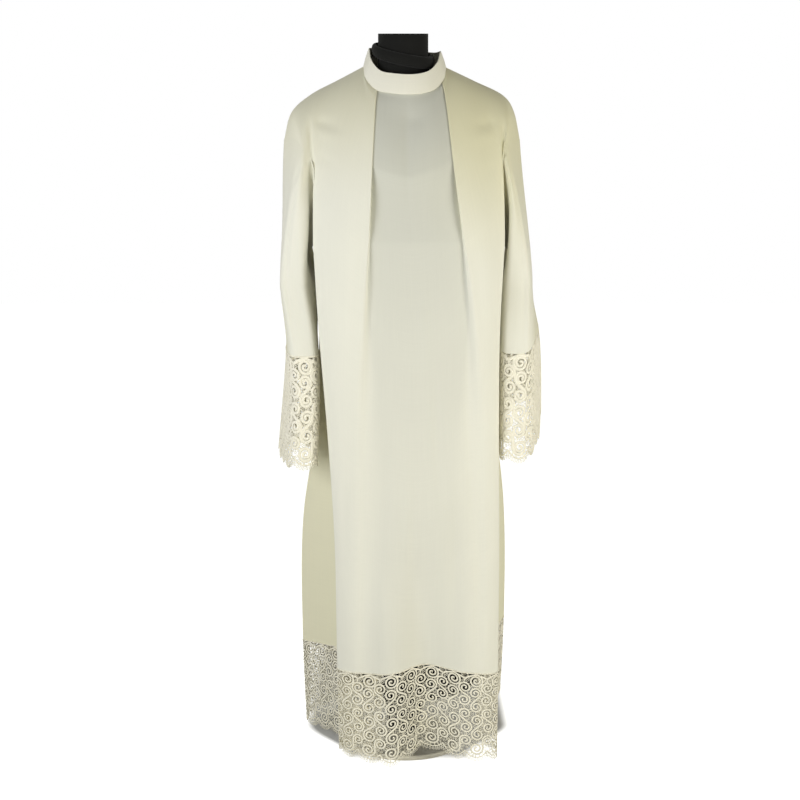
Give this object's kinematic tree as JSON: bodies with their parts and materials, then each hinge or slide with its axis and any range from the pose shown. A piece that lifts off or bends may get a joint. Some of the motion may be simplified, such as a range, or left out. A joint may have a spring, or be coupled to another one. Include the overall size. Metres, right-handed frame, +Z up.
{
  "type": "alb robe on limbless dress form",
  "caption": "Long ivory alb with a band collar, an inverted front pleat and guipure lace at hem and cuffs, on a full-length limbless dress form with a round base plate.",
  "frame": {"origin": "centre of the underside of the stand's round base, under the dress form's neck", "axes": "+Z up, the front of the alb faces -Y, its left sleeve as seen from the front is at -X"},
  "size_m": [0.5666, 0.393, 1.5294],
  "materials": {
    "ivory_cloth": "fine plain-woven ivory polyester and wool cloth, matt with a faint sheen",
    "ivory_lace": "ivory guipure lace with raised corded scrolls",
    "black_jersey": "black jersey stretched over the form",
    "painted_steel": "satin cream powder coat on steel"
  },
  "bodies": {
    "root": {"robe_front": "ivory_cloth", "robe_back": "ivory_cloth", "sleeve_left": "ivory_cloth", "sleeve_right": "ivory_cloth", "collar": "ivory_cloth", "hem_lace_front": "ivory_lace", "hem_lace_back": "ivory_lace", "cuff_lace_left_front": "ivory_lace", "cuff_lace_left_back": "ivory_lace", "cuff_lace_right_front": "ivory_lace", "cuff_lace_right_back": "ivory_lace", "form_torso": "black_jersey", "neck_roll": "black_jersey", "stand_base": "painted_steel"}
  },
  "joints": []
}
